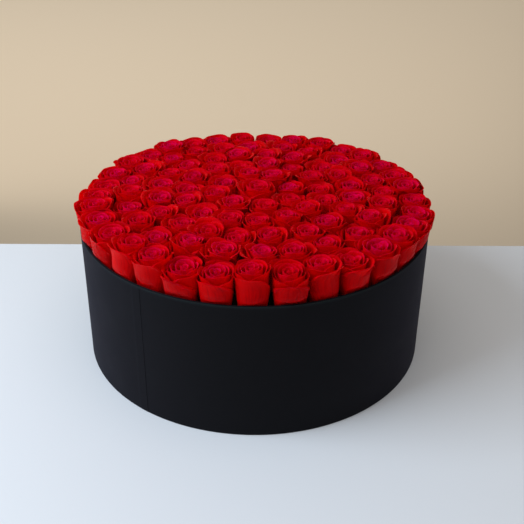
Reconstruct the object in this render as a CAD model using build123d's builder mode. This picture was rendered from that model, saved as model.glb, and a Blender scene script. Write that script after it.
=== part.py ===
"""A round hat box of fresh roses: a paper-covered board box, and the insert of dish, foam and roses in it.

Millimetres, +Z up. The origin is the centre of the box's underside, and the front of the box faces -Y.
"""

from build123d import *
import math
import os
import random

# Driving dimensions of the box
BOX_DIAMETER = 450.0
BOX_HEIGHT = 181.5
WALL_BOARD = 2.5  # thickness of the greyboard in the wall
BASE_BOARD = 3.0  # thickness of the greyboard in the base
WRAP = 0.35  # thickness of the outer wrapping paper
PAPER = 0.3  # thickness of the lining papers
RIM_TURN_IN = 15.0  # how far the wrap goes down inside the rim
BASE_TURN_IN = 12.0  # how far the wrap goes in under the base
BASE_PAPER_MARGIN = 4.0  # the base paper stops this far inside the edge of the box
SEAM_ANGLE = 234.7  # where the wrap's free edge lies, counted from +X
SEAM_LAP = 14.0  # width of the lap behind that edge

# Driving dimensions of the insert
REST_GAP = 0.1  # the dish lies on the base lining with this much air, so that their faces don't touch
DISH_CLEARANCE = 2.3  # between the dish's wall and the inside of the box
DISH_HEIGHT = 92.0
DISH_WALL = 0.8
DISH_LIP = 1.2  # how far the dish's lip stands out from its wall
FOAM_LENGTH = 230.0  # one brick of floral foam
FOAM_WIDTH = 110.0
FOAM_HEIGHT = 80.0
FOAM_ROWS = 4
FOAM_CLEARANCE = 1.2  # between the foam and the dish's wall
FOAM_JOINT = 0.6  # between two bricks

# Driving dimensions of the roses
RING_RADII = [202.5, 164.0, 126.0, 88.5, 48.5, 0.0]
RING_COUNTS = [33, 24, 20, 15, 8, 1]
RING_TURNS = [-0.5, 1.5, 9.6, 2.0, 14.0, 0.0]  # degrees that each ring is turned from the front
FULL_RINGS = 4  # these rings are split into one group for each side of the box
HEAD_TOP = 215.5  # height of an average flower's tip in the outer ring
CROWN_RISE = 4.0  # how much higher the flowers stand in the middle
FRONT_RISE = 3.0  # how much higher they stand at the front than at the sides, and lower at the back
HEAD_HEIGHT = 62.0
HEAD_RADIUS = 17.3
HEAD_FOOT_RADIUS = 9.0
HEAD_CROWN_RADIUS = 13.0
HEAD_WIDEST = 0.5  # share of the head's height at which it is widest
SHIFT = 0.9  # most that a rose stands off its place in the ring, each way
RISE = 3.5  # most that a rose stands above or below the average
HIP_HEIGHT = 10.0
HIP_RADIUS = 6.2
SEPALS = 5
SEPAL_LENGTH = 17.0
SEPAL_WIDTH = 5.0
SEPAL_THICKNESS = 0.7
SEPAL_DROOP = 50.0  # degrees below level
STEM_RADIUS = 3.0
STEM_IN_FOAM = 50.0
SEED = 11

# Worked out from those
box_radius = BOX_DIAMETER / 2
tube_radius = box_radius - WRAP
tube_bore = tube_radius - WALL_BOARD
lined_radius = tube_bore - WRAP
board_bottom = PAPER + WRAP
base_top = board_bottom + BASE_BOARD
floor_inside = base_top + PAPER
rim_board_top = BOX_HEIGHT - WRAP
turn_in_end = BOX_HEIGHT - RIM_TURN_IN
dish_bottom = floor_inside + REST_GAP
dish_radius = lined_radius - DISH_CLEARANCE
dish_bore = dish_radius - DISH_WALL
foam_bottom = dish_bottom + DISH_WALL
foam_top = foam_bottom + FOAM_HEIGHT
foam_radius = dish_bore - FOAM_CLEARANCE
stem_bottom = foam_top - STEM_IN_FOAM

os.makedirs("parts", exist_ok=True)


def save(builder, name):
    """Labels a finished piece and writes it to its own STEP file."""
    builder.part.label = name
    export_step(builder.part, f"parts/{name}.step")


def tube(outer, inner, bottom, top):
    """A plain upright tube, or a disc where inner is 0."""
    with BuildPart() as piece:
        with BuildSketch(Plane.XY.offset(bottom)):
            Circle(outer)
            if inner > 0:
                Circle(inner, mode=Mode.SUBTRACT)
        extrude(amount=top - bottom)
    return piece


# ---------------------------------------------------------------- the box

save(tube(tube_radius, tube_bore, board_bottom, rim_board_top), "wall_tube")
save(tube(tube_bore, 0, board_bottom, base_top), "base_board")
save(tube(tube_bore, 0, base_top, floor_inside), "base_lining")
save(tube(tube_bore, lined_radius, floor_inside, turn_in_end - PAPER), "lining_paper")

# The wrap is one sheet: in under the base, up the wall, over the rim and down inside it.
with BuildPart() as wrap_paper:
    with BuildSketch(Plane.XZ):
        with BuildLine():
            Polyline(
                (box_radius - BASE_TURN_IN, PAPER),
                (box_radius, PAPER),
                (box_radius, BOX_HEIGHT),
                (lined_radius, BOX_HEIGHT),
                (lined_radius, turn_in_end),
                (tube_bore, turn_in_end),
                (tube_bore, rim_board_top),
                (tube_radius, rim_board_top),
                (tube_radius, board_bottom),
                (box_radius - BASE_TURN_IN, board_bottom),
                close=True,
            )
        make_face()
    revolve(axis=Axis.Z)
    # the free end of the sheet, lapped over its start
    lap_turn = math.degrees(SEAM_LAP / box_radius)
    with BuildSketch(Plane.XY.offset(PAPER)):
        with BuildLine():
            lap_inside = CenterArc((0, 0), box_radius, SEAM_ANGLE - lap_turn, lap_turn)
            lap_outside = CenterArc((0, 0), box_radius + WRAP, SEAM_ANGLE - lap_turn, lap_turn)
            Line(lap_inside @ 0, lap_outside @ 0)
            Line(lap_inside @ 1, lap_outside @ 1)
        make_face()
    extrude(amount=BOX_HEIGHT - PAPER)
save(wrap_paper, "wrap_paper")

# The base paper lies on the board in the middle, and steps down over the wrap's turned-under edge.
with BuildPart() as base_paper:
    step_radius = box_radius - BASE_TURN_IN - WRAP
    with BuildSketch(Plane.XZ):
        with BuildLine():
            Polyline(
                (0, WRAP),
                (step_radius - PAPER, WRAP),
                (step_radius, 0),
                (box_radius - BASE_PAPER_MARGIN, 0),
                (box_radius - BASE_PAPER_MARGIN, PAPER),
                (step_radius + WRAP, PAPER),
                (step_radius + WRAP - PAPER, board_bottom),
                (0, board_bottom),
                close=True,
            )
        make_face()
    revolve(axis=Axis.Z)
save(base_paper, "base_paper")


# ------------------------------------------------- the insert's dish and foam

with BuildPart() as liner_dish:
    dish_top = dish_bottom + DISH_HEIGHT
    with BuildSketch(Plane.XZ):
        with BuildLine():
            Polyline(
                (0, dish_bottom),
                (dish_radius, dish_bottom),
                (dish_radius, dish_top - DISH_WALL),
                (dish_radius + DISH_LIP, dish_top - DISH_WALL),
                (dish_radius + DISH_LIP, dish_top),
                (dish_bore, dish_top),
                (dish_bore, foam_bottom),
                (0, foam_bottom),
                close=True,
            )
        make_face()
    revolve(axis=Axis.Z)
save(liner_dish, "liner_dish")


def rose_places():
    """Every rose as (ring, angle in degrees, x, y, height of its tip), ring by ring from the outside."""
    draw = random.Random(SEED)
    places = []
    for ring, (radius, count, turn) in enumerate(zip(RING_RADII, RING_COUNTS, RING_TURNS)):
        for k in range(count):
            angle = -90 + turn + 360 * k / count
            out = radius + draw.uniform(-SHIFT, SHIFT)
            along = draw.uniform(-SHIFT, SHIFT)
            c, s = math.cos(math.radians(angle)), math.sin(math.radians(angle))
            share = radius / RING_RADII[0]
            mound = CROWN_RISE * (1 - share**2) - FRONT_RISE * share * s
            tip = HEAD_TOP + mound + draw.uniform(-RISE, RISE)
            places.append((ring, angle % 360, out * c - along * s, out * s + along * c, tip))
    return places


roses = rose_places()
stem_holes = [(x, y) for _, _, x, y, _ in roses]

# Foam bricks, two to a row, cut to the round of the dish, with a hole where each stem is pushed in.
for row in range(FOAM_ROWS):
    for side, name in ((-1, "left"), (1, "right")):
        middle = (side * FOAM_LENGTH / 2, (row - (FOAM_ROWS - 1) / 2) * FOAM_WIDTH)
        with BuildPart() as foam_brick:
            with BuildSketch(Plane.XY.offset(foam_bottom)):
                with Locations(middle):
                    Rectangle(FOAM_LENGTH - FOAM_JOINT, FOAM_WIDTH - FOAM_JOINT)
                Circle(foam_radius, mode=Mode.INTERSECT)
            extrude(amount=FOAM_HEIGHT)
            near = [
                (x, y)
                for x, y in stem_holes
                if abs(x - middle[0]) < FOAM_LENGTH / 2 + STEM_RADIUS
                and abs(y - middle[1]) < FOAM_WIDTH / 2 + STEM_RADIUS
            ]
            with BuildSketch(Plane.XY.offset(stem_bottom)):
                with Locations(*near):
                    Circle(STEM_RADIUS)
            extrude(amount=STEM_IN_FOAM, mode=Mode.SUBTRACT)
        save(foam_brick, f"foam_brick_row{row + 1}_{name}")


# ------------------------------------------------------------------ the roses

# One flower's petals as a closed goblet that stands on its foot at the origin.
with BuildPart() as rose_head:
    widest = HEAD_HEIGHT * HEAD_WIDEST
    with BuildSketch(Plane.XZ):
        with BuildLine():
            foot = Line((0, 0), (HEAD_FOOT_RADIUS, 0))
            side = TangentArc((HEAD_RADIUS, widest), foot @ 1, tangent=(0, 1), tangent_from_first=False)
            shoulder = TangentArc(side @ 1, (HEAD_CROWN_RADIUS, HEAD_HEIGHT), tangent=(0, 1))
            Polyline(shoulder @ 1, (0, HEAD_HEIGHT), (0, 0))
        make_face()
    revolve(axis=Axis.Z)

# The hip hangs below the origin, and the sepals spread from its upper edge and droop.
with BuildPart() as calyx:
    with BuildSketch(Plane.XZ):
        with BuildLine():
            neck = Line((0, -HIP_HEIGHT), (STEM_RADIUS, -HIP_HEIGHT))
            bulge = ThreePointArc(neck @ 1, (HIP_RADIUS, -HIP_HEIGHT * 0.45), (HIP_RADIUS * 0.9, 0))
            Polyline(bulge @ 1, (0, 0), (0, -HIP_HEIGHT))
        make_face()
    revolve(axis=Axis.Z)
    for k in range(SEPALS):
        turn = 360 * k / SEPALS
        blade = Plane(origin=(0, 0, -SEPAL_THICKNESS)).rotated((0, SEPAL_DROOP, 0)).rotated((0, 0, turn))
        with BuildSketch(blade):
            with BuildLine():
                Polyline(
                    (0, -SEPAL_WIDTH / 2),
                    (SEPAL_LENGTH * 0.55, -SEPAL_WIDTH / 2),
                    (SEPAL_LENGTH, 0),
                    (SEPAL_LENGTH * 0.55, SEPAL_WIDTH / 2),
                    (0, SEPAL_WIDTH / 2),
                    close=True,
                )
            make_face()
        extrude(amount=-SEPAL_THICKNESS)


def group_of(ring, angle):
    """The end of the node's name for a rose: its ring, and in the outer rings its side of the box."""
    if RING_COUNTS[ring] == 1:
        return "centre"
    if ring >= FULL_RINGS:
        return f"ring{ring + 1}"
    side = ("right", "back", "left", "front")[round(angle / 90) % 4]
    return f"ring{ring + 1}_{side}"


groups = {}
for ring, angle, x, y, tip in roses:
    groups.setdefault(group_of(ring, angle), []).append((x, y, tip))

for group, members in groups.items():
    with BuildPart() as heads:
        for x, y, tip in members:
            with Locations((x, y, tip - HEAD_HEIGHT)):
                add(rose_head.part)
    save(heads, f"rose_heads_{group}")

    with BuildPart() as stems:
        for x, y, tip in members:
            with BuildSketch(Plane.XY.offset(stem_bottom)):
                with Locations((x, y)):
                    Circle(STEM_RADIUS)
            extrude(amount=tip - HEAD_HEIGHT - HIP_HEIGHT - stem_bottom)
    save(stems, f"stems_{group}")

for ring in range(len(RING_COUNTS)):
    with BuildPart() as calyxes:
        for rose_ring, angle, x, y, tip in roses:
            if rose_ring == ring:
                with Locations(Location((x, y, tip - HEAD_HEIGHT), (0, 0, angle))):
                    add(calyx.part)
    save(calyxes, "calyx_centre" if RING_COUNTS[ring] == 1 else f"calyxes_ring{ring + 1}")
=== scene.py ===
"""The looks of the flower box: a black paper hat box packed with red roses.

Metres, in the frame of the CAD model: +Z up, and the front of the box faces -Y.
"""
import bpy
import bmesh
import math
import random
from collections import namedtuple
import numpy as np
from mathutils import Matrix, Vector


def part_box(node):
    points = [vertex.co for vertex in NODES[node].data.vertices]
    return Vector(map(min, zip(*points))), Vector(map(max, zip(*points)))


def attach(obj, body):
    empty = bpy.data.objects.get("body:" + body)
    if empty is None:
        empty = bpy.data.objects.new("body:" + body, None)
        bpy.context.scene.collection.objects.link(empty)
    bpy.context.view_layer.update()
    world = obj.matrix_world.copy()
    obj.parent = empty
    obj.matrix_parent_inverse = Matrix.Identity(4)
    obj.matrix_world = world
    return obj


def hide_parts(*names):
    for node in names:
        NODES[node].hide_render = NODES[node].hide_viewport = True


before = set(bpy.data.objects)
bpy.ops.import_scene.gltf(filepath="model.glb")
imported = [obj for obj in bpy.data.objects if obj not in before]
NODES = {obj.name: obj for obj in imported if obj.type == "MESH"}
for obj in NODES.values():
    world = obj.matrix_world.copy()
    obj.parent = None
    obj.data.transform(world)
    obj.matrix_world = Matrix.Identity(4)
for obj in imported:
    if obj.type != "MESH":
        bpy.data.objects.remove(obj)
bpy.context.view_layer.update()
MM = 0.001
SEED = 5

# The box, as the CAD model has it
BASE_PAPER_MARGIN = 4 * MM  # the base paper stops this far inside the edge of the box
RADIUS = (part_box("base_paper")[1].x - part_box("base_paper")[0].x) / 2 + BASE_PAPER_MARGIN
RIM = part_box("wrap_paper")[1].z
WRAP = 0.35 * MM  # thickness of the wrapping paper
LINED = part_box("lining_paper")[1].x - WRAP  # inside of the rim, on the turned-in wrap
BASE_TURN_IN = 12 * MM  # how far the wrap goes in under the base
SEAM_ANGLE = 234.7  # where the wrap's free edge lies, in degrees from +X
SEAM_LAP = 14 * MM  # width of the lap behind that edge
DISH_WALL = 0.8 * MM  # thickness of the dish
DISH_LIP = 1.2 * MM  # how far the dish's lip stands out from its wall
STEM_RADIUS = 3 * MM
HIP_HEIGHT = 10 * MM

# The box's and the dish's finer shapes
FOLD_ROUND = 0.8 * MM  # radius of the wrap's folds at the rim and the foot
HEM_GAP = 0.3 * MM  # between the end of the turned-in wrap and the lining below it
LAP_STEP = 3 * MM  # the wrap climbs on to its own start over this width
FLUTES = 72
FLUTE_DEPTH = 0.7 * MM
DISH_FOOT_ROUND = 2.2 * MM
DISH_PLAIN = 6 * MM  # the dish's wall has no flutes this near to its foot and its lip
RING_DEPTH = 0.3 * MM  # rings are pressed this deep in the dish's floor
RING_WAVE = 370  # radians of the rings' wave to a metre of the floor's radius

# The roses
PETALS = 15
HEAD = 60.5 * MM  # height of a flower over its hip
PETAL_THICKNESS = 0.42 * MM
GOLDEN = math.radians(137.5)  # the turn from one petal to the next
NEIGHBOUR = 56 * MM  # roses nearer than this press against each other
USUAL_GAP = 39 * MM  # between the middles of two neighbours
OUTER_SHIFT = 2 * MM  # at the front the outer roses stand this much nearer to the rim than in the CAD
BACK_SHIFT = -2.5 * MM  # and at the back they stand this much further in
BACK_LOWER = 3.5 * MM  # the flowers at the very back are this much shorter
LOOSE_PETALS = 0.25  # share of the roses at the front rim with a petal bent back over it

# How far petals reach. Every limit is soft: they give way to it from a little before.
MOST_REACH = 28.5 * MM  # from the flower's upright axis
REACH_GIVE = 7 * MM
SIDE_GAP = 0.1 * MM  # from a petal to the middle between two roses
SIDE_GIVE = 3 * MM
LOW_GAP = 4.5 * MM  # more of that gap at the foot of a flower
GAP_CLOSES = 48 * MM  # the height over the foot where the wider gap has closed
LIE_OVER = 1.6 * MM  # lips lie this far over that middle, above a neighbour's outer petals
OUTER_TIPS = 4 * MM  # a neighbour's outer petals end this far below its tip
CLEARANCE = 2.5 * MM  # from a petal to the wrap below the rim, and to the edge of the box above it
BOX_GIVE = 2 * MM
OVER_RIM = 9 * MM  # petals that lie loosely come this much further out above the rim
RIM_CLEARANCE = 3 * MM  # they come out from this height over the rim
RIM_BEND = 5 * MM  # and are all the way out after this much more

# The camera, and the stage round the box
CAMERA_AWAY = 4.462 * RADIUS  # in front of the middle of the box
CAMERA_UP = 3.068 * RADIUS  # over the table
CAMERA_PITCH = 30.125  # degrees below level
CAMERA_YAW = 0.557  # degrees to the right of the box's middle
CAMERA_ROLL = 0.512  # degrees anticlockwise
LENS = 58.97  # millimetres, as the sensor
SENSOR = 36.0
TABLE_HALF = 1.6  # half the table's width
TABLE_EDGE = 1.075 * RADIUS  # the table ends this far behind the middle of the box
WALL_HALF = 4.0  # half the wall's width
WALL_AWAY = 1.9  # from the middle of the box to the wall


# ---------------------------------------------------------------- shader nodes

def new_material(name):
    mat = bpy.data.materials.new(name)
    mat.use_nodes = True
    return mat, mat.node_tree, mat.node_tree.nodes["Principled BSDF"]


def node(tree, kind, inputs=(), **settings):
    """A shader node. inputs holds (input name, value or output socket) pairs."""
    made = tree.nodes.new("ShaderNode" + kind)
    for name, value in settings.items():
        setattr(made, name, value)
    for name, value in inputs:
        if isinstance(value, bpy.types.NodeSocket):
            tree.links.new(value, made.inputs[name])
        else:
            made.inputs[name].default_value = value
    return made


def attribute(tree, name):
    return node(tree, "Attribute", attribute_name=name).outputs["Fac"]


def in_place(tree, stretch=(1, 1, 1)):
    """Points of the object in metres, stretched along its axes."""
    coords = node(tree, "TexCoord")
    return node(tree, "Mapping", [("Vector", coords.outputs["Object"]), ("Scale", stretch)]).outputs["Vector"]


def noise(tree, vector, scale, detail=3.0, roughness=0.5):
    return node(tree, "TexNoise", [("Vector", vector), ("Scale", scale), ("Detail", detail),
                                   ("Roughness", roughness)]).outputs["Fac"]


def noise_bent(tree, place):
    """The same points pushed about a little, so that a pattern on them isn't regular."""
    push = node(tree, "TexNoise", [("Vector", place), ("Scale", 500), ("Detail", 2)]).outputs["Color"]
    small = node(tree, "VectorMath", [(0, push), (1, (0.0012, 0.0012, 0.0012))], operation="MULTIPLY")
    return node(tree, "VectorMath", [(0, place), (1, small.outputs["Vector"])]).outputs["Vector"]


def cells(tree, vector, scale, feature="F1"):
    """Distances in a pattern of cells, from their middles or from their edges."""
    made = node(tree, "TexVoronoi", [("Vector", vector), ("Scale", scale)], feature=feature)
    return made.outputs["Distance"]


def ramp(tree, factor, *stops):
    """A colour ramp through (position, colour) stops."""
    made = node(tree, "ValToRGB", [("Fac", factor)])
    line = made.color_ramp
    line.elements[0].position, line.elements[0].color = stops[0][0], (*stops[0][1], 1)
    line.elements[1].position, line.elements[1].color = stops[-1][0], (*stops[-1][1], 1)
    for position, colour in stops[1:-1]:
        line.elements.new(position).color = (*colour, 1)
    return made.outputs["Color"]


def spread(tree, factor, low, high, begin=0.0, end=1.0):
    """Maps begin..end of a factor to low..high."""
    return node(tree, "MapRange", [("Value", factor), ("From Min", begin), ("From Max", end),
                                   ("To Min", low), ("To Max", high)]).outputs["Result"]


def mix(tree, factor, first, second):
    return node(tree, "MixRGB", [("Fac", factor), ("Color1", first), ("Color2", second)]).outputs["Color"]


def sum_of(tree, first, second):
    return node(tree, "Math", [(0, first), (1, second)], operation="ADD").outputs["Value"]


def product_of(tree, first, second):
    return node(tree, "Math", [(0, first), (1, second)], operation="MULTIPLY").outputs["Value"]


def finish_shader(tree, shader, colour, roughness, height, strength, distance, **uniform):
    """Links a shader's colour, roughness and bump, and sets its other inputs to plain values."""
    tree.links.new(colour, shader.inputs["Base Color"])
    tree.links.new(roughness, shader.inputs["Roughness"])
    made = node(tree, "Bump", [("Height", height), ("Strength", strength), ("Distance", distance)])
    tree.links.new(made.outputs["Normal"], shader.inputs["Normal"])
    for name, value in uniform.items():
        shader.inputs[name.replace("_", " ")].default_value = value


# ---------------------------------------------------------------- materials

def petal_material():
    """Velvety petals: clear red, darker at the foot, crimson at the lips round the heart as a painted sheen,
    finely veined.
    """
    mat, tree, shader = new_material("rose_petal")
    along = attribute(tree, "along")
    outside = ramp(tree, along, (0.1, (0.45, 0.01, 0.002)), (0.45, (0.84, 0.0, 0.0)),
                   (0.88, (0.84, 0.0, 0.0)), (1.0, (0.78, 0.0, 0.002)))
    inside = ramp(tree, along, (0.3, (0.6, 0.0, 0.0)), (0.72, (0.88, 0.0, 0.0)),
                  (0.9, (0.82, 0.0, 0.0)), (1.0, (0.76, 0.0, 0.004)))
    colour = mix(tree, attribute(tree, "inner"), outside, inside)
    # the lips round the heart are cooler than the outer petals: a painted sheen, the cool light's reflection
    # on the upward-facing lips put into the colour
    lip = spread(tree, along, 0.0, 0.95, 0.85, 1.0)
    colour = mix(tree, product_of(tree, lip, attribute(tree, "heart")), colour, (0.8, 0.0, 0.068, 1))
    # every petal is a little lighter or darker, with soft clouds in it
    tone = attribute(tree, "tone")
    clouds = noise(tree, in_place(tree), 90, 3)
    shade = sum_of(tree, spread(tree, tone, 0.83, 1.03), spread(tree, clouds, -0.12, 0.12))
    colour = node(tree, "HueSaturation", [("Color", colour), ("Value", shade)]).outputs["Color"]
    # veins fan out along the petal
    fan = node(tree, "CombineXYZ", [("X", attribute(tree, "across")), ("Y", product_of(tree, along, 0.16)),
                                    ("Z", tone)]).outputs["Vector"]
    veins = noise(tree, fan, 16, 4, 0.6)
    colour = mix(tree, spread(tree, veins, 0.35, 0.0, 0.34, 0.5), colour, (0.3, 0.0, 0.0, 1))
    height = sum_of(tree, veins, noise(tree, in_place(tree), 2500, 2))
    finish_shader(tree, shader, colour, spread(tree, clouds, 0.42, 0.6), height, 0.45, 0.5 * MM,
                  Specular_IOR_Level=0.07, Specular_Tint=(1.0, 0.05, 0.3, 1),
                  Subsurface_Weight=0.6, Subsurface_Radius=(1.0, 0.05, 0.03), Subsurface_Scale=6 * MM,
                  Sheen_Weight=0.006, Sheen_Roughness=0.45, Sheen_Tint=(1.0, 0.03, 0.22, 1))
    return mat


def green_material():
    """Stems, hips and sepals: waxy green with long streaks, olive in places, red-brown at thorns and tips."""
    mat, tree, shader = new_material("rose_green")
    streaks = noise(tree, in_place(tree, (1, 1, 0.12)), 900, 4, 0.6)
    patches = noise(tree, in_place(tree), 60, 2)
    green = ramp(tree, streaks, (0.3, (0.028, 0.09, 0.018)), (0.55, (0.06, 0.16, 0.03)),
                 (0.8, (0.13, 0.25, 0.06)))
    olive = mix(tree, spread(tree, patches, 0.0, 0.8, 0.45, 0.75), green, (0.12, 0.13, 0.03, 1))
    tinged = mix(tree, attribute(tree, "blush"), olive, (0.2, 0.035, 0.02, 1))
    finish_shader(tree, shader, tinged, spread(tree, patches, 0.4, 0.6), streaks, 0.5, 0.3 * MM,
                  Specular_IOR_Level=0.35)
    return mat


def foam_material():
    """Wet floral foam: dull green, darker in places, with open pores darkened by painted shade, and paler
    crumbs.
    """
    mat, tree, shader = new_material("floral_foam")
    place = in_place(tree)
    pores = cells(tree, place, 1500)
    crumbs = noise(tree, place, 700, 5, 0.7)
    clouds = noise(tree, place, 18, 3)
    base = ramp(tree, clouds, (0.35, (0.018, 0.07, 0.035)), (0.65, (0.04, 0.125, 0.06)))
    # the pores are darkened: painted shade inside them
    speckled = mix(tree, spread(tree, pores, 0.6, 0.0, 0.1, 0.45), base, (0.01, 0.035, 0.018, 1))
    dusted = mix(tree, spread(tree, crumbs, 0.0, 0.5, 0.5, 0.75), speckled, (0.09, 0.2, 0.11, 1))
    finish_shader(tree, shader, dusted, spread(tree, clouds, 0.95, 0.75), sum_of(tree, pores, crumbs),
                  0.8, 0.6 * MM, Specular_IOR_Level=0.15)
    return mat


def board_material():
    """Greyboard: pressed recycled fibres, light and dark, with dark flecks."""
    mat, tree, shader = new_material("greyboard")
    place = in_place(tree, (1, 1, 3))
    fibres = noise(tree, place, 420, 6, 0.75)
    base = ramp(tree, fibres, (0.3, (0.2, 0.175, 0.14)), (0.5, (0.33, 0.29, 0.24)),
                (0.72, (0.46, 0.42, 0.36)))
    flecks = spread(tree, cells(tree, place, 260), 0.7, 0.0, 0.05, 0.16)
    flecked = mix(tree, flecks, base, (0.08, 0.075, 0.08, 1))
    finish_shader(tree, shader, flecked, spread(tree, fibres, 0.8, 0.95), fibres, 0.5, 0.5 * MM)
    return mat


def paper_material(name, colour, fleck, roughness, grain, tooth, sheen=0.0):
    """Dyed paper: short felted fibres, a faint cloudiness, a tooth of the given height, and a painted
    highlight along the rim's fold where the mesh marks it.
    """
    mat, tree, shader = new_material(name)
    place = in_place(tree)
    fibres = noise(tree, place, grain, 6, 0.7)
    clouds = noise(tree, place, 22, 4, 0.6)
    strands = cells(tree, noise_bent(tree, place), grain * 0.4, "DISTANCE_TO_EDGE")
    base = ramp(tree, fibres, (0.3, tuple(c * 0.65 for c in colour)), (0.55, colour), (0.8, fleck))
    clouds_and_rim_highlight = mix(tree, spread(tree, clouds, 0.0, 0.35, 0.45, 0.8), base, (*fleck, 1))
    # a painted highlight: a paler teal line along the fold over the rim, where the rounded edge catches the
    # light
    clouds_and_rim_highlight = mix(tree, spread(tree, attribute(tree, "crease"), 0.0, 0.5), clouds_and_rim_highlight, (0.014, 0.026, 0.028, 1))
    dullness = spread(tree, product_of(tree, clouds, fibres), *roughness, 0.1, 0.4)
    height = sum_of(tree, fibres, spread(tree, strands, 0.25, 0.0, 0.0, 0.08))
    finish_shader(tree, shader, clouds_and_rim_highlight, dullness, height, 0.4, tooth, Specular_IOR_Level=0.08,
                  Sheen_Weight=sheen, Sheen_Roughness=0.5, Sheen_Tint=(0.6, 0.58, 1.0, 1))
    return mat


def dish_material():
    """Thin vacuum-formed black plastic: glossy, a little orange-peel, scuffed, with dried water marks."""
    mat, tree, shader = new_material("dish_plastic")
    place = in_place(tree)
    peel = noise(tree, place, 350, 3)
    scuffs = noise(tree, in_place(tree, (1, 1, 0.15)), 140, 6, 0.75)
    marks = noise(tree, place, 45, 4)
    base = ramp(tree, marks, (0.4, (0.008, 0.008, 0.009)), (0.62, (0.011, 0.011, 0.012)),
                (0.75, (0.018, 0.018, 0.019)))
    finish_shader(tree, shader, base, spread(tree, scuffs, 0.26, 0.42, 0.4, 0.7), peel, 0.25, 0.3 * MM,
                  Specular_IOR_Level=0.3)
    return mat


# ---------------------------------------------------------------- camera, floor and light

def make_camera():
    data = bpy.data.cameras.new("camera")
    data.lens = LENS
    data.sensor_width = SENSOR
    cam = bpy.data.objects.new("camera", data)
    bpy.context.scene.collection.objects.link(cam)
    place = Matrix.Translation((0, -CAMERA_AWAY, CAMERA_UP))
    turn = Matrix.Rotation(math.radians(-CAMERA_YAW), 4, "Z")
    tip = Matrix.Rotation(math.radians(90 - CAMERA_PITCH), 4, "X")
    roll = Matrix.Rotation(math.radians(CAMERA_ROLL), 4, "Z")
    cam.matrix_world = place @ turn @ tip @ roll
    bpy.context.scene.camera = cam


def area_light(name, place, aim, size, power, colour):
    data = bpy.data.lights.new(name, "AREA")
    data.shape = "RECTANGLE"
    data.size, data.size_y = size
    data.energy = power
    data.color = colour
    lamp = bpy.data.objects.new(name, data)
    bpy.context.scene.collection.objects.link(lamp)
    lamp.location = place
    lamp.visible_camera = False
    lamp.rotation_mode = "QUATERNION"
    lamp.rotation_quaternion = (Vector(aim) - Vector(place)).to_track_quat("-Z", "Y")


def stage_plane(name, corners, colour, roughness):
    mesh = bpy.data.meshes.new(name)
    mesh.from_pydata(corners, [], [tuple(range(len(corners)))])
    obj = bpy.data.objects.new(name, mesh)
    bpy.context.scene.collection.objects.link(obj)
    mat, _, shader = new_material(name)
    shader.inputs["Base Color"].default_value = (*colour, 1)
    shader.inputs["Roughness"].default_value = roughness
    shader.inputs["Specular IOR Level"].default_value = 0.2
    mesh.materials.append(mat)


def make_stage():
    """A white table and a buff wall behind it, a cool window at the left, and soft light from above."""
    x = TABLE_HALF
    stage_plane("table", [(-x, -x, 0), (x, -x, 0), (x, TABLE_EDGE, 0), (-x, TABLE_EDGE, 0)],
                colour=(0.77, 0.8, 0.835), roughness=0.6)
    x, y = WALL_HALF, WALL_AWAY
    stage_plane("wall", [(-x, y, -2), (x, y, -2), (x, y, 3), (-x, y, 3)],
                colour=(0.8, 0.655, 0.475), roughness=0.9)
    area_light("window", place=(-1.5, -0.55, 1.4), aim=(0, 0, 0.1), size=(1.4, 1.2), power=38,
               colour=(0.77, 0.88, 1.0))
    area_light("sky", place=(0.0, -0.8, 2.4), aim=(0, 0, 0), size=(2.4, 2.4), power=13,
               colour=(1.0, 0.98, 0.97))
    area_light("wall_wash", place=(-0.09, 1.6, -0.355), aim=(-0.05, WALL_AWAY, -0.295), size=(2.5, 0.83),
               power=2.4, colour=(1.0, 0.96, 0.92))
    world = bpy.data.worlds.new("room")
    bpy.context.scene.world = world
    world.use_nodes = True
    world.node_tree.nodes["Background"].inputs["Color"].default_value = (0.95, 0.93, 0.92, 1)
    world.node_tree.nodes["Background"].inputs["Strength"].default_value = 0.33
    bpy.context.scene.view_settings.view_transform = "Standard"


# ---------------------------------------------------------------- meshes

def smooth(x):
    """0 below 0, 1 above 1, and a smooth step between them."""
    x = np.clip(x, 0, 1)
    return x * x * (3 - 2 * x)


def grid_faces(rows, columns, closed=False):
    """The quads of a grid of points, whose columns may run round in a ring."""
    at = np.arange((rows + 1) * (columns + (0 if closed else 1))).reshape(rows + 1, -1)
    if closed:
        at = np.hstack([at, at[:, :1]])
    return np.stack([at[:-1, :-1], at[:-1, 1:], at[1:, 1:], at[1:, :-1]], 2).reshape(-1, 4)


def shell_faces(rows, columns):
    """The quads of a thin closed sheet: an outer grid, an inner grid, and the edge between them."""
    n = (rows + 1) * (columns + 1)
    at = np.arange(n).reshape(rows + 1, columns + 1)
    outer = grid_faces(rows, columns)
    ring = np.concatenate([at[0, :-1], at[:-1, -1], at[-1, ::-1][:-1], at[::-1, 0][:-1]])
    after = np.roll(ring, -1)
    edge = np.stack([after, ring, ring + n, after + n], 1)
    return np.concatenate([outer, outer[:, ::-1] + n, edge])


def thicken(grid, thickness):
    """Outer and inner copies of a grid, half a thickness each way along its normals."""
    normal = np.cross(np.gradient(grid, axis=1), np.gradient(grid, axis=0))
    normal /= np.maximum(np.linalg.norm(normal, axis=2, keepdims=True), 1e-12)
    half = normal * thickness / 2
    return np.concatenate([(grid + half).reshape(-1, 3), (grid - half).reshape(-1, 3)])


def corner(centre, radius, begin, end, steps=6):
    """Points of a round corner in the (r, z) plane, with its angles in degrees."""
    turn = np.radians(np.linspace(begin, end, steps + 1))
    return [(centre[0] + radius * math.cos(a), centre[1] + radius * math.sin(a)) for a in turn]


def lathe(outline, angles):
    """Points and faces of a closed (r, z) outline turned about the axis, and its r and z as columns."""
    r, z = np.array(outline).T[:, :, None]
    points = np.stack([r * np.cos(angles), r * np.sin(angles), z + 0 * angles], 2)
    faces = grid_faces(len(outline), len(angles), closed=True) % (len(outline) * len(angles))
    return points, faces[:, ::-1], r, z


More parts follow.
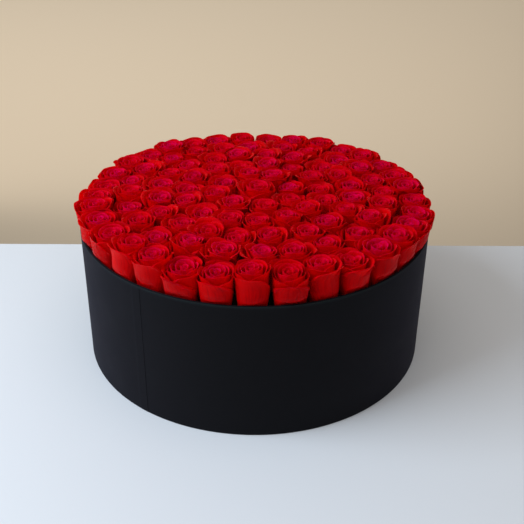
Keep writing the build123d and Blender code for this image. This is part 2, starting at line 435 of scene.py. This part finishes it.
def sharpen(obj, degrees):
    """Shades as sharp the edges that turn by more than an angle."""
    shape = bmesh.new()
    shape.from_mesh(obj.data)
    for edge in shape.edges:
        if len(edge.link_faces) == 2 and edge.calc_face_angle(0) > math.radians(degrees):
            edge.smooth = False
    shape.to_mesh(obj.data)
    shape.free()


class Pieces:
    """Points, faces and point attributes gathered from many shapes into one mesh."""

    def __init__(self, *attributes):
        self.points, self.faces, self.size = [], [], 0
        self.values = {name: [] for name in attributes}

    def add(self, points, faces, **values):
        self.points.append(points)
        self.faces += (faces + self.size).tolist()
        self.size += len(points)
        for name, kept in self.values.items():
            kept.append(np.broadcast_to(values[name], len(points)))

    def add_solid(self, rings, **values):
        """Adds a solid through rings of points, its ends closed with quads across them."""
        count, sides = rings.shape[:2]
        sheath = grid_faces(count - 1, sides, closed=True)
        bottom = np.array([[k, sides - 1 - k, sides - 2 - k, k + 1] for k in range(sides // 2 - 1)])
        top = bottom[:, ::-1] + (count - 1) * sides
        self.add(rings.reshape(-1, 3), np.concatenate([sheath, bottom, top]), **values)

    def make(self, name, material):
        mesh = bpy.data.meshes.new(name)
        mesh.from_pydata(np.concatenate(self.points).tolist(), [], self.faces)
        mesh.polygons.foreach_set("use_smooth", np.ones(len(mesh.polygons), bool))
        for label, kept in self.values.items():
            layer = mesh.attributes.new(label, "FLOAT", "POINT")
            layer.data.foreach_set("value", np.concatenate(kept).astype(np.float32))
        mesh.materials.append(material)
        obj = bpy.data.objects.new(name, mesh)
        bpy.context.scene.collection.objects.link(obj)
        return obj


def finish_piece(obj, body, slot, *nodes):
    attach(obj, body)
    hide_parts(*nodes)


# ---------------------------------------------------------------- the box and the dish

def wrap_paper(material):
    """The wrap: one sheet round the wall, over the rim and under the base, with a lapped seam."""
    board_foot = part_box("wall_tube")[0].z
    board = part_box("wall_tube")[1].x
    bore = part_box("lining_paper")[1].x
    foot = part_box("wrap_paper")[0].z
    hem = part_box("lining_paper")[1].z + HEM_GAP
    outside = board + WRAP
    under = outside - BASE_TURN_IN
    fold = FOLD_ROUND
    outline = [(under, board_foot), (under, foot)]
    outline += corner((outside - fold, foot + fold), fold, -90, 0)
    outline += [(outside, z) for z in np.linspace(foot + 4 * MM, RIM - 4 * MM, 12)]
    outline += corner((outside - fold, RIM - fold), fold, 0, 90)
    outline += corner((LINED + fold, RIM - fold), fold, 90, 180)
    outline += [(LINED, (RIM + hem) / 2), (LINED, hem), (bore, hem), (bore, RIM - WRAP)]
    outline += [(board, RIM - WRAP), (board, board_foot)]
    # the seam has columns of points of its own, where the lap begins and ends
    seam = math.radians(SEAM_ANGLE)
    edge = 0.02 * MM / RADIUS  # half the width of the wrap's cut edge, as an angle
    lap_begin, lap_top = seam - SEAM_LAP / RADIUS, seam - (SEAM_LAP - LAP_STEP) / RADIUS
    around = np.linspace(0, 2 * math.pi, 360, endpoint=False)
    angles = np.sort(np.concatenate([around, [lap_begin, lap_top, seam - edge, seam + edge]]))
    points, faces, r, z = lathe(outline, angles)
    climb = smooth((angles - lap_begin) / (lap_top - lap_begin)) * (angles <= seam - edge)
    # board and glue are never quite even
    wave = 0.10 * MM * np.sin(3 * angles + 9 * z) + 0.05 * MM * np.sin(11 * angles + 40 * z)
    calm = smooth((RIM - z) / (20 * MM)) * smooth((z - foot) / (20 * MM))
    on_wall = r > outside - 1e-6
    grow = 1 + on_wall * (WRAP * climb + wave * calm) / RADIUS
    points[:, :, :2] *= grow[:, :, None]
    # where the wrap folds over the rim its outside gets a painted highlight, a paler teal line
    crease = smooth((z - RIM + 1.2 * MM) / (0.6 * MM)) * (r > board)
    wrap = Pieces("crease")
    wrap.add(points.reshape(-1, 3), faces, crease=np.broadcast_to(crease, points.shape[:2]).ravel())
    sheet = wrap.make("outer_wrap", material)
    sharpen(sheet, 40)
    finish_piece(sheet, "box", "wrap_black", "wrap_paper")


def liner_dish(material):
    """The dish: a rounded foot, a fluted wall that keeps it stiff, rings pressed in the floor, and a lip."""
    low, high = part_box("liner_dish")
    lip = high.x
    wall = lip - DISH_LIP
    bore = wall - DISH_WALL
    floor = low.z + DISH_WALL
    foot = DISH_FOOT_ROUND
    middle = 0.5 * MM  # the lathe's outline begins and ends this far off the axis
    heights = np.linspace(low.z + DISH_PLAIN, high.z - DISH_PLAIN, 10)
    outline = [(middle, low.z + RING_DEPTH)]
    outline += [(r, low.z + RING_DEPTH * math.sin(r * RING_WAVE) ** 2) for r in np.linspace(0.02, 0.19, 40)]
    outline += corner((wall - foot, low.z + foot), foot, -90, 0)
    outline += [(wall, z) for z in heights]
    outline += [(wall, high.z - 1.6 * MM)]
    outline += corner((wall + 0.4 * MM, high.z - 1.2 * MM), 0.4 * MM, 180, 90, 3)
    outline += corner((lip - 0.4 * MM, high.z - 0.4 * MM), 0.4 * MM, -90, 90, 4)
    outline += corner((bore + 0.8 * MM, high.z - 0.8 * MM), 0.8 * MM, 90, 180, 4)
    outline += [(bore, z) for z in heights[::-1]]
    outline += corner((bore - 1.4 * MM, floor + 1.4 * MM), 1.4 * MM, 0, -90)
    outline += [(middle, floor)]
    angles = np.linspace(0, 2 * math.pi, FLUTES * 8, endpoint=False)
    points, faces, r, z = lathe(outline, angles)
    fluted = smooth((z - low.z - DISH_PLAIN) / DISH_PLAIN) * smooth((high.z - DISH_PLAIN - z) / DISH_PLAIN)
    flute = FLUTE_DEPTH * smooth(np.cos(FLUTES * angles) * 1.5 + 0.2)
    points[:, :, :2] *= (1 + fluted * (r > bore - 1e-6) * flute / RADIUS)[:, :, None]
    shell = Pieces()
    shell.add(points.reshape(-1, 3), faces)
    dish = shell.make("waterproof_dish", material)
    sharpen(dish, 50)
    finish_piece(dish, "insert", "dish_plastic", "liner_dish")


# ---------------------------------------------------------------- where the roses stand

Spot = namedtuple("Spot", "middle foot tip")


def islands(obj):
    """The spot of each separate solid in a CAD node: its middle (x, y), and its lowest and highest z."""
    shape = bmesh.new()
    shape.from_mesh(obj.data)
    bmesh.ops.remove_doubles(shape, verts=shape.verts, dist=1e-6)
    shape.verts.ensure_lookup_table()
    seen, found = set(), []
    for start in shape.verts:
        if start.index in seen:
            continue
        stack, group = [start], []
        seen.add(start.index)
        while stack:
            vertex = stack.pop()
            group.append(vertex.co.copy())
            for edge in vertex.link_edges:
                other = edge.other_vert(vertex)
                if other.index not in seen:
                    seen.add(other.index)
                    stack.append(other)
        low, high = np.min(group, 0), np.max(group, 0)
        found.append(Spot((low[:2] + high[:2]) / 2, low[2], high[2]))
    shape.free()
    return found


def nodes_of(kind):
    return sorted(name for name in NODES if name.startswith(kind))


def edge_at(middle):
    """1 for a rose in the outermost ring, 0 for one well inside it."""
    return float(smooth((np.hypot(*middle) / RADIUS - 0.8) / 0.1))


def loose_at(middle):
    """How loosely roses at a place lie over the rim: 1 at the front of the box, 0 at its back."""
    return 1 - float(smooth((middle[1] / RADIUS + 0.3) / 0.45))


def outward_of(middle):
    return middle / max(np.hypot(*middle), 1e-6)


def room_at(middle, spots):
    """The space round a rose, from its five nearest neighbours: 1 where they stand at the usual gap."""
    gaps = sorted(np.hypot(*(other.middle - middle)) for other in spots)
    return np.clip(np.mean(gaps[1:6]) / USUAL_GAP, 0.94, 1.25)


# ---------------------------------------------------------------- petals

BOWL, WALL, LIP = 5, 4, 5  # rows of points in a petal's bowl, its wall and its rolled lip
COLUMNS = 16
PETAL_FACES = shell_faces(BOWL + WALL + LIP, COLUMNS)


def petal_profile(p, u):
    """The distance from the axis and the height of a petal's points, row by row from its foot to its lip.

    The petal grows out of the hip in a bowl, stands up as a wall, and rolls outward at its lip.
    """
    side = np.abs(u)
    roll = p["roll"] * (1 - 0.25 * side ** 2) * (1 + 0.18 * np.sin(2.3 * u + p["phase"]))
    tip = p["point"] * np.exp(-(u / 0.25) ** 2)
    crest = p["crest"] * (1 - p["drop"] * side ** 2.8 - 0.08 * side ** 8 + tip)
    shoulder = crest - p["curl"] * np.sin(np.minimum(roll, math.pi / 2))
    turn = np.linspace(0, math.pi / 2, BOWL + 1)[:, None]
    bowl_r = p["foot"] + (p["reach"] - p["foot"]) * np.sin(turn) + 0 * u
    bowl_z = p["bowl"] * (1 - np.cos(turn)) + 0 * u
    up = np.linspace(0, 1, WALL + 1)[1:, None]
    wall_r = p["reach"] * (1 - p["tuck"] * smooth(up)) + p["flare"] * up ** 3 + 0 * u
    wall_z = p["bowl"] + up * (shoulder - p["bowl"])
    begin = np.arctan(3 * p["flare"] / (shoulder - p["bowl"]))
    rolled = begin + np.linspace(0, 1, LIP + 1)[1:, None] * roll
    lip_r = wall_r[-1:] + p["curl"] * (np.cos(begin) - np.cos(rolled))
    lip_z = shoulder + p["curl"] * (np.sin(rolled) - np.sin(begin))
    return np.vstack([bowl_r, wall_r, lip_r]), np.vstack([bowl_z, wall_z, lip_z])


def petal_grid(p):
    """The middle surface of one petal about the rose's axis, and its points' places along and across it."""
    u = np.linspace(-1, 1, COLUMNS + 1)[None, :]
    r, z = petal_profile(p, u)
    step = np.hypot(np.diff(r, axis=0, prepend=r[:1]), np.diff(z, axis=0, prepend=z[:1]))
    along = np.cumsum(step, 0)
    along /= along[-1:]
    width = p["width"] * (0.3 + 0.7 * smooth(along / 0.75)) * (1 - 0.24 * smooth((along - 0.72) / 0.28))
    half = np.minimum(width / 2 / np.maximum(r[:, COLUMNS // 2][:, None], 0.1 * MM), p["wrap"])
    # one side edge lies outside the other, both stand off near the top, and the lip is rippled
    free = smooth((np.abs(u) - 0.55) / 0.45) * smooth((along - 0.45) / 0.4)
    r = r + p["imbricate"] * u * smooth(along / 0.3) + p["open"] * free
    r = r + p["ripple"] * np.sin(4.1 * u + 3 * p["phase"]) * smooth((along - 0.55) / 0.4)
    z = z + 0.8 * p["ripple"] * np.sin(6.3 * u + 1.7 * p["phase"]) * smooth((along - 0.75) / 0.25)
    r = np.maximum(r, 0.3 * MM)
    angle = p["turn"] + u * half + p["twist"] * (along - 0.6)
    return np.stack([r * np.cos(angle), r * np.sin(angle), z], 2), along, np.broadcast_to(u, r.shape)


def petal_specs(draw, openness, room, head):
    """The petals of one rose from the heart outwards. Room is 1 for a rose with average space round it."""
    specs = []
    start = draw.uniform(0, 2 * math.pi)
    for i in range(PETALS):
        t = i / (PETALS - 1)
        outer = float(smooth((t - 0.55) / 0.45))
        heart = 1 - float(smooth(t / 0.35))
        sink = (1.6 * openness * heart + (1.0 - 1.6 * openness) * t ** 1.6) * MM
        specs.append({
            "turn": start + GOLDEN * i + draw.uniform(-0.2, 0.2),
            "reach": (1.6 + 17.9 * room * t ** 0.72) * MM,  # of the wall from the rose's axis
            "foot": (1.0 + 3.5 * t) * MM,  # where the bowl begins
            "bowl": (8 + 20 * t) * MM,  # height of the bowl
            "crest": head - sink + draw.uniform(-1.3, 1.3) * MM,
            "tuck": 0.4 * heart + 0.14 * (1 - openness) * (1 - outer) + 0.02,  # the wall's lean inward
            "flare": (0.3 + 1.2 * t + 3.0 * outer) * (0.4 + 0.8 * openness) * MM * draw.uniform(0.7, 1.2),
            "curl": (1.3 + 3.9 * t) * MM * draw.uniform(0.85, 1.15),  # radius of the rolled lip
            "roll": (0.6 + 0.35 * t + 0.5 * outer) * (0.6 + 0.6 * openness) * draw.uniform(0.8, 1.2),
            "width": (18 + 48 * room * t ** 0.8) * MM * draw.uniform(0.93, 1.07),
            "wrap": 2.3 - 0.5 * t,  # most that half a petal goes round the rose
            "twist": draw.uniform(-0.45, 0.45) * t,
            "drop": 0.03 + 0.035 * t,  # of the crest towards the sides
            "point": draw.uniform(0.0, 0.02) * (1.3 - openness),
            "imbricate": (0.55 - 0.15 * outer) * MM,  # how far one side edge lies outside the other
            "open": (0.1 + 0.6 * outer * openness) * MM * draw.uniform(0.3, 1.2),
            "ripple": (0.1 + 0.4 * t) * MM * draw.uniform(0.4, 1.2),
            "phase": draw.uniform(0, 2 * math.pi),
            "tone": draw.uniform(0, 1),
            # the heart's cool tint below is a painted sheen of cool light on the lips
            "heart": 1 - float(smooth((t - 0.25) / 0.5)),  # share of the heart's cool tint
        })
    return specs


def turn_outward(specs, facing):
    """Turns a rose at the rim so that its outermost petal faces a given way."""
    turn_by = facing - specs[-1]["turn"]
    for p in specs:
        p["turn"] += turn_by


def bend_back(petal):
    """Bends a petal back, so that it leans over the rim."""
    petal["flare"] += 3.5 * MM
    petal["roll"] = 1.5
    petal["curl"] = 6 * MM
    petal["crest"] -= 2 * MM


# ---------------------------------------------------------------- roses

def press(distance, limit, give):
    """Distances pressed softly under a limit, starting a little before it."""
    over = distance - (limit - give)
    return np.where(over > 0, limit - give + give * (1 - np.exp(-np.maximum(over, 0) / give)), distance)


def press_round(points, limit, give):
    """Presses points in towards the z axis."""
    out = np.hypot(points[:, 0], points[:, 1])
    points[:, :2] *= (press(out, limit, give) / np.maximum(out, 1e-6))[:, None]


def keep_apart(points, spot, spots):
    """Presses a rose's petals back from the middles between it and its neighbours.

    Low down a gap stays open, and above a neighbour's outer petals the lips lie over them a little.
    """
    below = 1 - smooth(points[:, 2] / GAP_CLOSES)
    for other in spots:
        gap = other.middle - spot.middle
        space = np.hypot(*gap)
        if space > NEIGHBOUR or space == 0:
            continue
        way = gap / space
        along = points[:, :2] @ way
        above = smooth((points[:, 2] + spot.foot - (other.tip - OUTER_TIPS)) / OUTER_TIPS)
        limit = space / 2 - SIDE_GAP + above * LIE_OVER - below * LOW_GAP
        points[:, :2] += (press(along, limit, SIDE_GIVE) - along)[:, None] * way


def keep_in_box(points, loose):
    """Up to a little above the rim a petal stays clear of the turned-in wrap, and then it may overhang."""
    over_rim = smooth((points[:, 2] - RIM - RIM_CLEARANCE) / RIM_BEND)
    press_round(points, LINED - CLEARANCE + over_rim * (loose * OVER_RIM + RADIUS - LINED), BOX_GIVE)


def lean_of(draw, middle):
    """A small tilt of a rose's axis: any way in the middle of the box, and more outward at its rim."""
    edge = edge_at(middle)
    tilt = np.array([draw.uniform(-5, 5), draw.uniform(-5, 5)]) * (1 - 0.5 * edge)
    tilt = tilt + outward_of(middle) * edge * draw.uniform(-1.5, 3) * (0.3 + 0.7 * loose_at(middle))
    return Matrix.Rotation(math.radians(tilt[0]), 3, "Y") @ Matrix.Rotation(math.radians(-tilt[1]), 3, "X")


def rose_at(draw, heart_sheen, spot, spots):
    """One rose: its petals pressed into the space that its neighbours and the rim leave it."""
    middle = spot.middle
    edge, loose = edge_at(middle), loose_at(middle)
    shift = edge * (BACK_SHIFT + loose * (OUTER_SHIFT - BACK_SHIFT))
    base = np.array([*(middle + outward_of(middle) * shift), spot.foot])
    head = HEAD - (1 - loose) * np.hypot(*middle) / RADIUS * BACK_LOWER
    openness = draw.uniform(0.15, 1.0)
    lean = np.array(lean_of(draw, middle))
    room = room_at(middle, spots) * draw.uniform(0.89, 1.03)
    specs = petal_specs(draw, openness, room, head)
    if edge > 0.9:
        turn_outward(specs, math.atan2(middle[1], middle[0]) + draw.uniform(-0.5, 0.5))
        if draw.random() < LOOSE_PETALS * loose:
            bend_back(specs[-1])
    rose = Pieces("along", "across", "inner", "tone", "heart")
    for p in specs:
        grid, along, across = petal_grid(p)
        points = thicken(grid, PETAL_THICKNESS) @ lean.T
        press_round(points, MOST_REACH, REACH_GIVE)
        keep_apart(points, spot, spots)
        points += base
        keep_in_box(points, loose)
        rose.add(points, PETAL_FACES, along=np.tile(along.ravel(), 2), across=np.tile(across.ravel(), 2),
                 inner=np.repeat([0.0, 1.0], along.size), tone=p["tone"], heart=p["heart"] * heart_sheen)
    return rose


def make_roses(material, heads):
    """Makes a piece of every rose. Heads are (CAD node, spot) pairs."""
    draw = random.Random(SEED)
    tints = random.Random(SEED + 3)
    spots = [spot for _, spot in heads]
    for count, (name, spot) in enumerate(heads, 1):
        # every rose gets its own strength of the painted sheen round its heart
        rose = rose_at(draw, tints.uniform(0.2, 1.0), spot, spots)
        finish_piece(rose.make(f"rose_{count:03d}", material), "insert", "petal_red", name)


# ---------------------------------------------------------------- stems, hips and sepals

STEM_SIDES = 12
SEPALS = 5
SEPAL_ROWS, SEPAL_COLUMNS = 9, 6
SEPAL_FACES = shell_faces(SEPAL_ROWS, SEPAL_COLUMNS)


def stem_rings(draw, low, high):
    """A stem with a slow bend, swollen joints where leaves were cut, and a faint twist of ridges."""
    heights = np.linspace(low, high, 34)
    share = (heights - low) / (high - low)
    angle = np.linspace(0, 2 * math.pi, STEM_SIDES, endpoint=False)
    joints = [draw.uniform(0.42, 0.55), draw.uniform(0.68, 0.8)]
    swell = sum(np.exp(-((share - joint) / 0.018) ** 2) for joint in joints)
    free = smooth((share - 0.4) / 0.2) * smooth((1 - share) / 0.15)
    bend = draw.uniform(0.3, 0.9) * MM * np.sin(share * 7 + draw.uniform(0, 6)) * free
    way = draw.uniform(0, 2 * math.pi)
    thick = STEM_RADIUS * (0.99 - 0.1 * smooth((share - 0.4) / 0.5) + 0.14 * swell * free)
    ridge = 1 + 0.03 * free[:, None] * np.sin(3 * angle + 5 * share[:, None])
    r = thick[:, None] * ridge
    x = r * np.cos(angle) + (bend * math.cos(way))[:, None]
    y = r * np.sin(angle) + (bend * math.sin(way))[:, None]
    return np.stack([x, y, np.broadcast_to(heights[:, None], x.shape)], 2)


def thorn_rings(draw, high):
    """A prickle: a flattened cone that hooks downward, standing on the stem's side."""
    z = high - draw.uniform(14, 52) * MM
    facing = draw.uniform(0, 2 * math.pi)
    reach = draw.uniform(3.2, 4.6) * MM
    s = np.linspace(0, 1, 5)[:, None]
    turn = np.linspace(0, 2 * math.pi, 8, endpoint=False)
    out = 2.4 * MM + reach * s
    side = (0.8 * MM * (1 - s) + 0.1 * MM) * np.cos(turn)
    up = (2.1 * MM * (1 - s) ** 1.2 + 0.12 * MM) * np.sin(turn) - 1.6 * MM * s ** 2
    x = out * math.cos(facing) - side * math.sin(facing)
    y = out * math.sin(facing) + side * math.cos(facing)
    return np.stack([x, y, z + up], 2)


def make_stems(material):
    draw = random.Random(SEED + 1)
    for name in nodes_of("stems"):
        group = Pieces("blush")
        for middle, low, high in islands(NODES[name]):
            place = np.array([*middle, 0])
            group.add_solid(stem_rings(draw, low, high + 1 * MM) + place, blush=0.0)
            for _ in range(draw.randint(2, 4)):
                group.add_solid(thorn_rings(draw, high) + place, blush=0.8)
        piece = group.make(name.replace("stems", "cut_stems"), material)
        finish_piece(piece, "insert", "stem_green", name)


def hip_rings(foot):
    """The hip: a swollen cup under the petals, narrow where the stem joins."""
    shares = np.linspace(0, 1, 12)
    angle = np.linspace(0, 2 * math.pi, 20, endpoint=False)
    radius = (2.7 + 3.4 * np.sin(shares * math.pi * 0.62) ** 1.2 - 0.3 * smooth((shares - 0.8) / 0.2)) * MM
    r = radius[:, None] * (1 + 0.03 * np.cos(5 * angle))
    z = np.broadcast_to((foot - HIP_HEIGHT + HIP_HEIGHT * shares)[:, None], r.shape)
    return np.stack([r * np.cos(angle), r * np.sin(angle), z], 2)


def sepal(draw, facing, foot):
    """One sepal: a pointed leaf folded along its midrib, arching out from the hip and down."""
    v = np.linspace(0, 1, SEPAL_ROWS + 1)[:, None]
    u = np.linspace(-1, 1, SEPAL_COLUMNS + 1)[None, :]
    step = draw.uniform(14.5, 18) * MM / SEPAL_ROWS
    path = np.linspace(0.1, draw.uniform(1.5, 2.1), SEPAL_ROWS + 1)[1:, None]
    start = np.zeros((1, 1))
    out = 4.6 * MM + np.concatenate([start, np.cumsum(np.cos(path) * step, 0)])
    down = -0.5 * MM - np.concatenate([start, np.cumsum(np.sin(path) * step, 0)])
    half = 2.6 * MM * (0.75 + 0.5 * np.sin(v * 2.2)) * (1 - v ** 2.2) + 0.15 * MM
    fold = 0.9 * MM * np.abs(u) * (1 - v)
    x = out + fold * 0.5
    y = u * half + draw.uniform(-0.8, 0.8) * MM * v ** 2
    z = foot + down + fold * 0.8
    c, s = math.cos(facing), math.sin(facing)
    grid = np.stack([x * c - y * s, x * s + y * c, z], 2)
    return thicken(grid, 0.6 * MM), np.tile(np.broadcast_to(v, x.shape).ravel(), 2)


def make_calyxes(material, heads):
    """Makes the hip and sepals under every rose, each centred on the nearest head."""
    draw = random.Random(SEED + 2)
    spots = [spot for _, spot in heads]
    for name in nodes_of("calyx"):
        group = Pieces("blush")
        for calyx in islands(NODES[name]):
            head = min(spots, key=lambda spot: np.hypot(*(spot.middle - calyx.middle)))
            place = np.array([*head.middle, 0])
            group.add_solid(hip_rings(head.foot) + place, blush=0.0)
            start = draw.uniform(0, 2 * math.pi)
            for k in range(SEPALS):
                facing = start + 2 * math.pi * k / SEPALS + draw.uniform(-0.12, 0.12)
                points, along = sepal(draw, facing, head.foot)
                group.add(points + place, SEPAL_FACES, blush=0.5 * smooth((along - 0.6) / 0.4))
        piece = group.make(name.replace("calyx", "green_calyx"), material)
        finish_piece(piece, "insert", "sepal_green", name)


# ---------------------------------------------------------------- carried-over CAD nodes

def dress(material, *names):
    for name in names:
        NODES[name].data.materials.clear()
        NODES[name].data.materials.append(material)


def dress_nodes():
    dress(board_material(), "wall_tube", "base_board")
    dress(paper_material("lining_black", (0.012, 0.012, 0.013), (0.03, 0.03, 0.032), roughness=(0.7, 0.9),
                         grain=900, tooth=0.3 * MM), "lining_paper", "base_lining")
    dress(paper_material("base_black", (0.016, 0.016, 0.017), (0.04, 0.04, 0.042), roughness=(0.75, 0.95),
                         grain=600, tooth=0.4 * MM), "base_paper")
    dress(foam_material(), *nodes_of("foam"))


make_camera()
make_stage()
dress_nodes()
wrap_paper(paper_material("wrap_black", (0.0038, 0.0038, 0.0039), (0.0065, 0.0066, 0.007),
                          roughness=(0.7, 0.85), grain=1600, tooth=0.12 * MM, sheen=0.05))
liner_dish(dish_material())
rose_heads = [(name, spot) for name in nodes_of("rose_heads") for spot in islands(NODES[name])]
green = green_material()
make_stems(green)
make_calyxes(green, rose_heads)
make_roses(petal_material(), rose_heads)
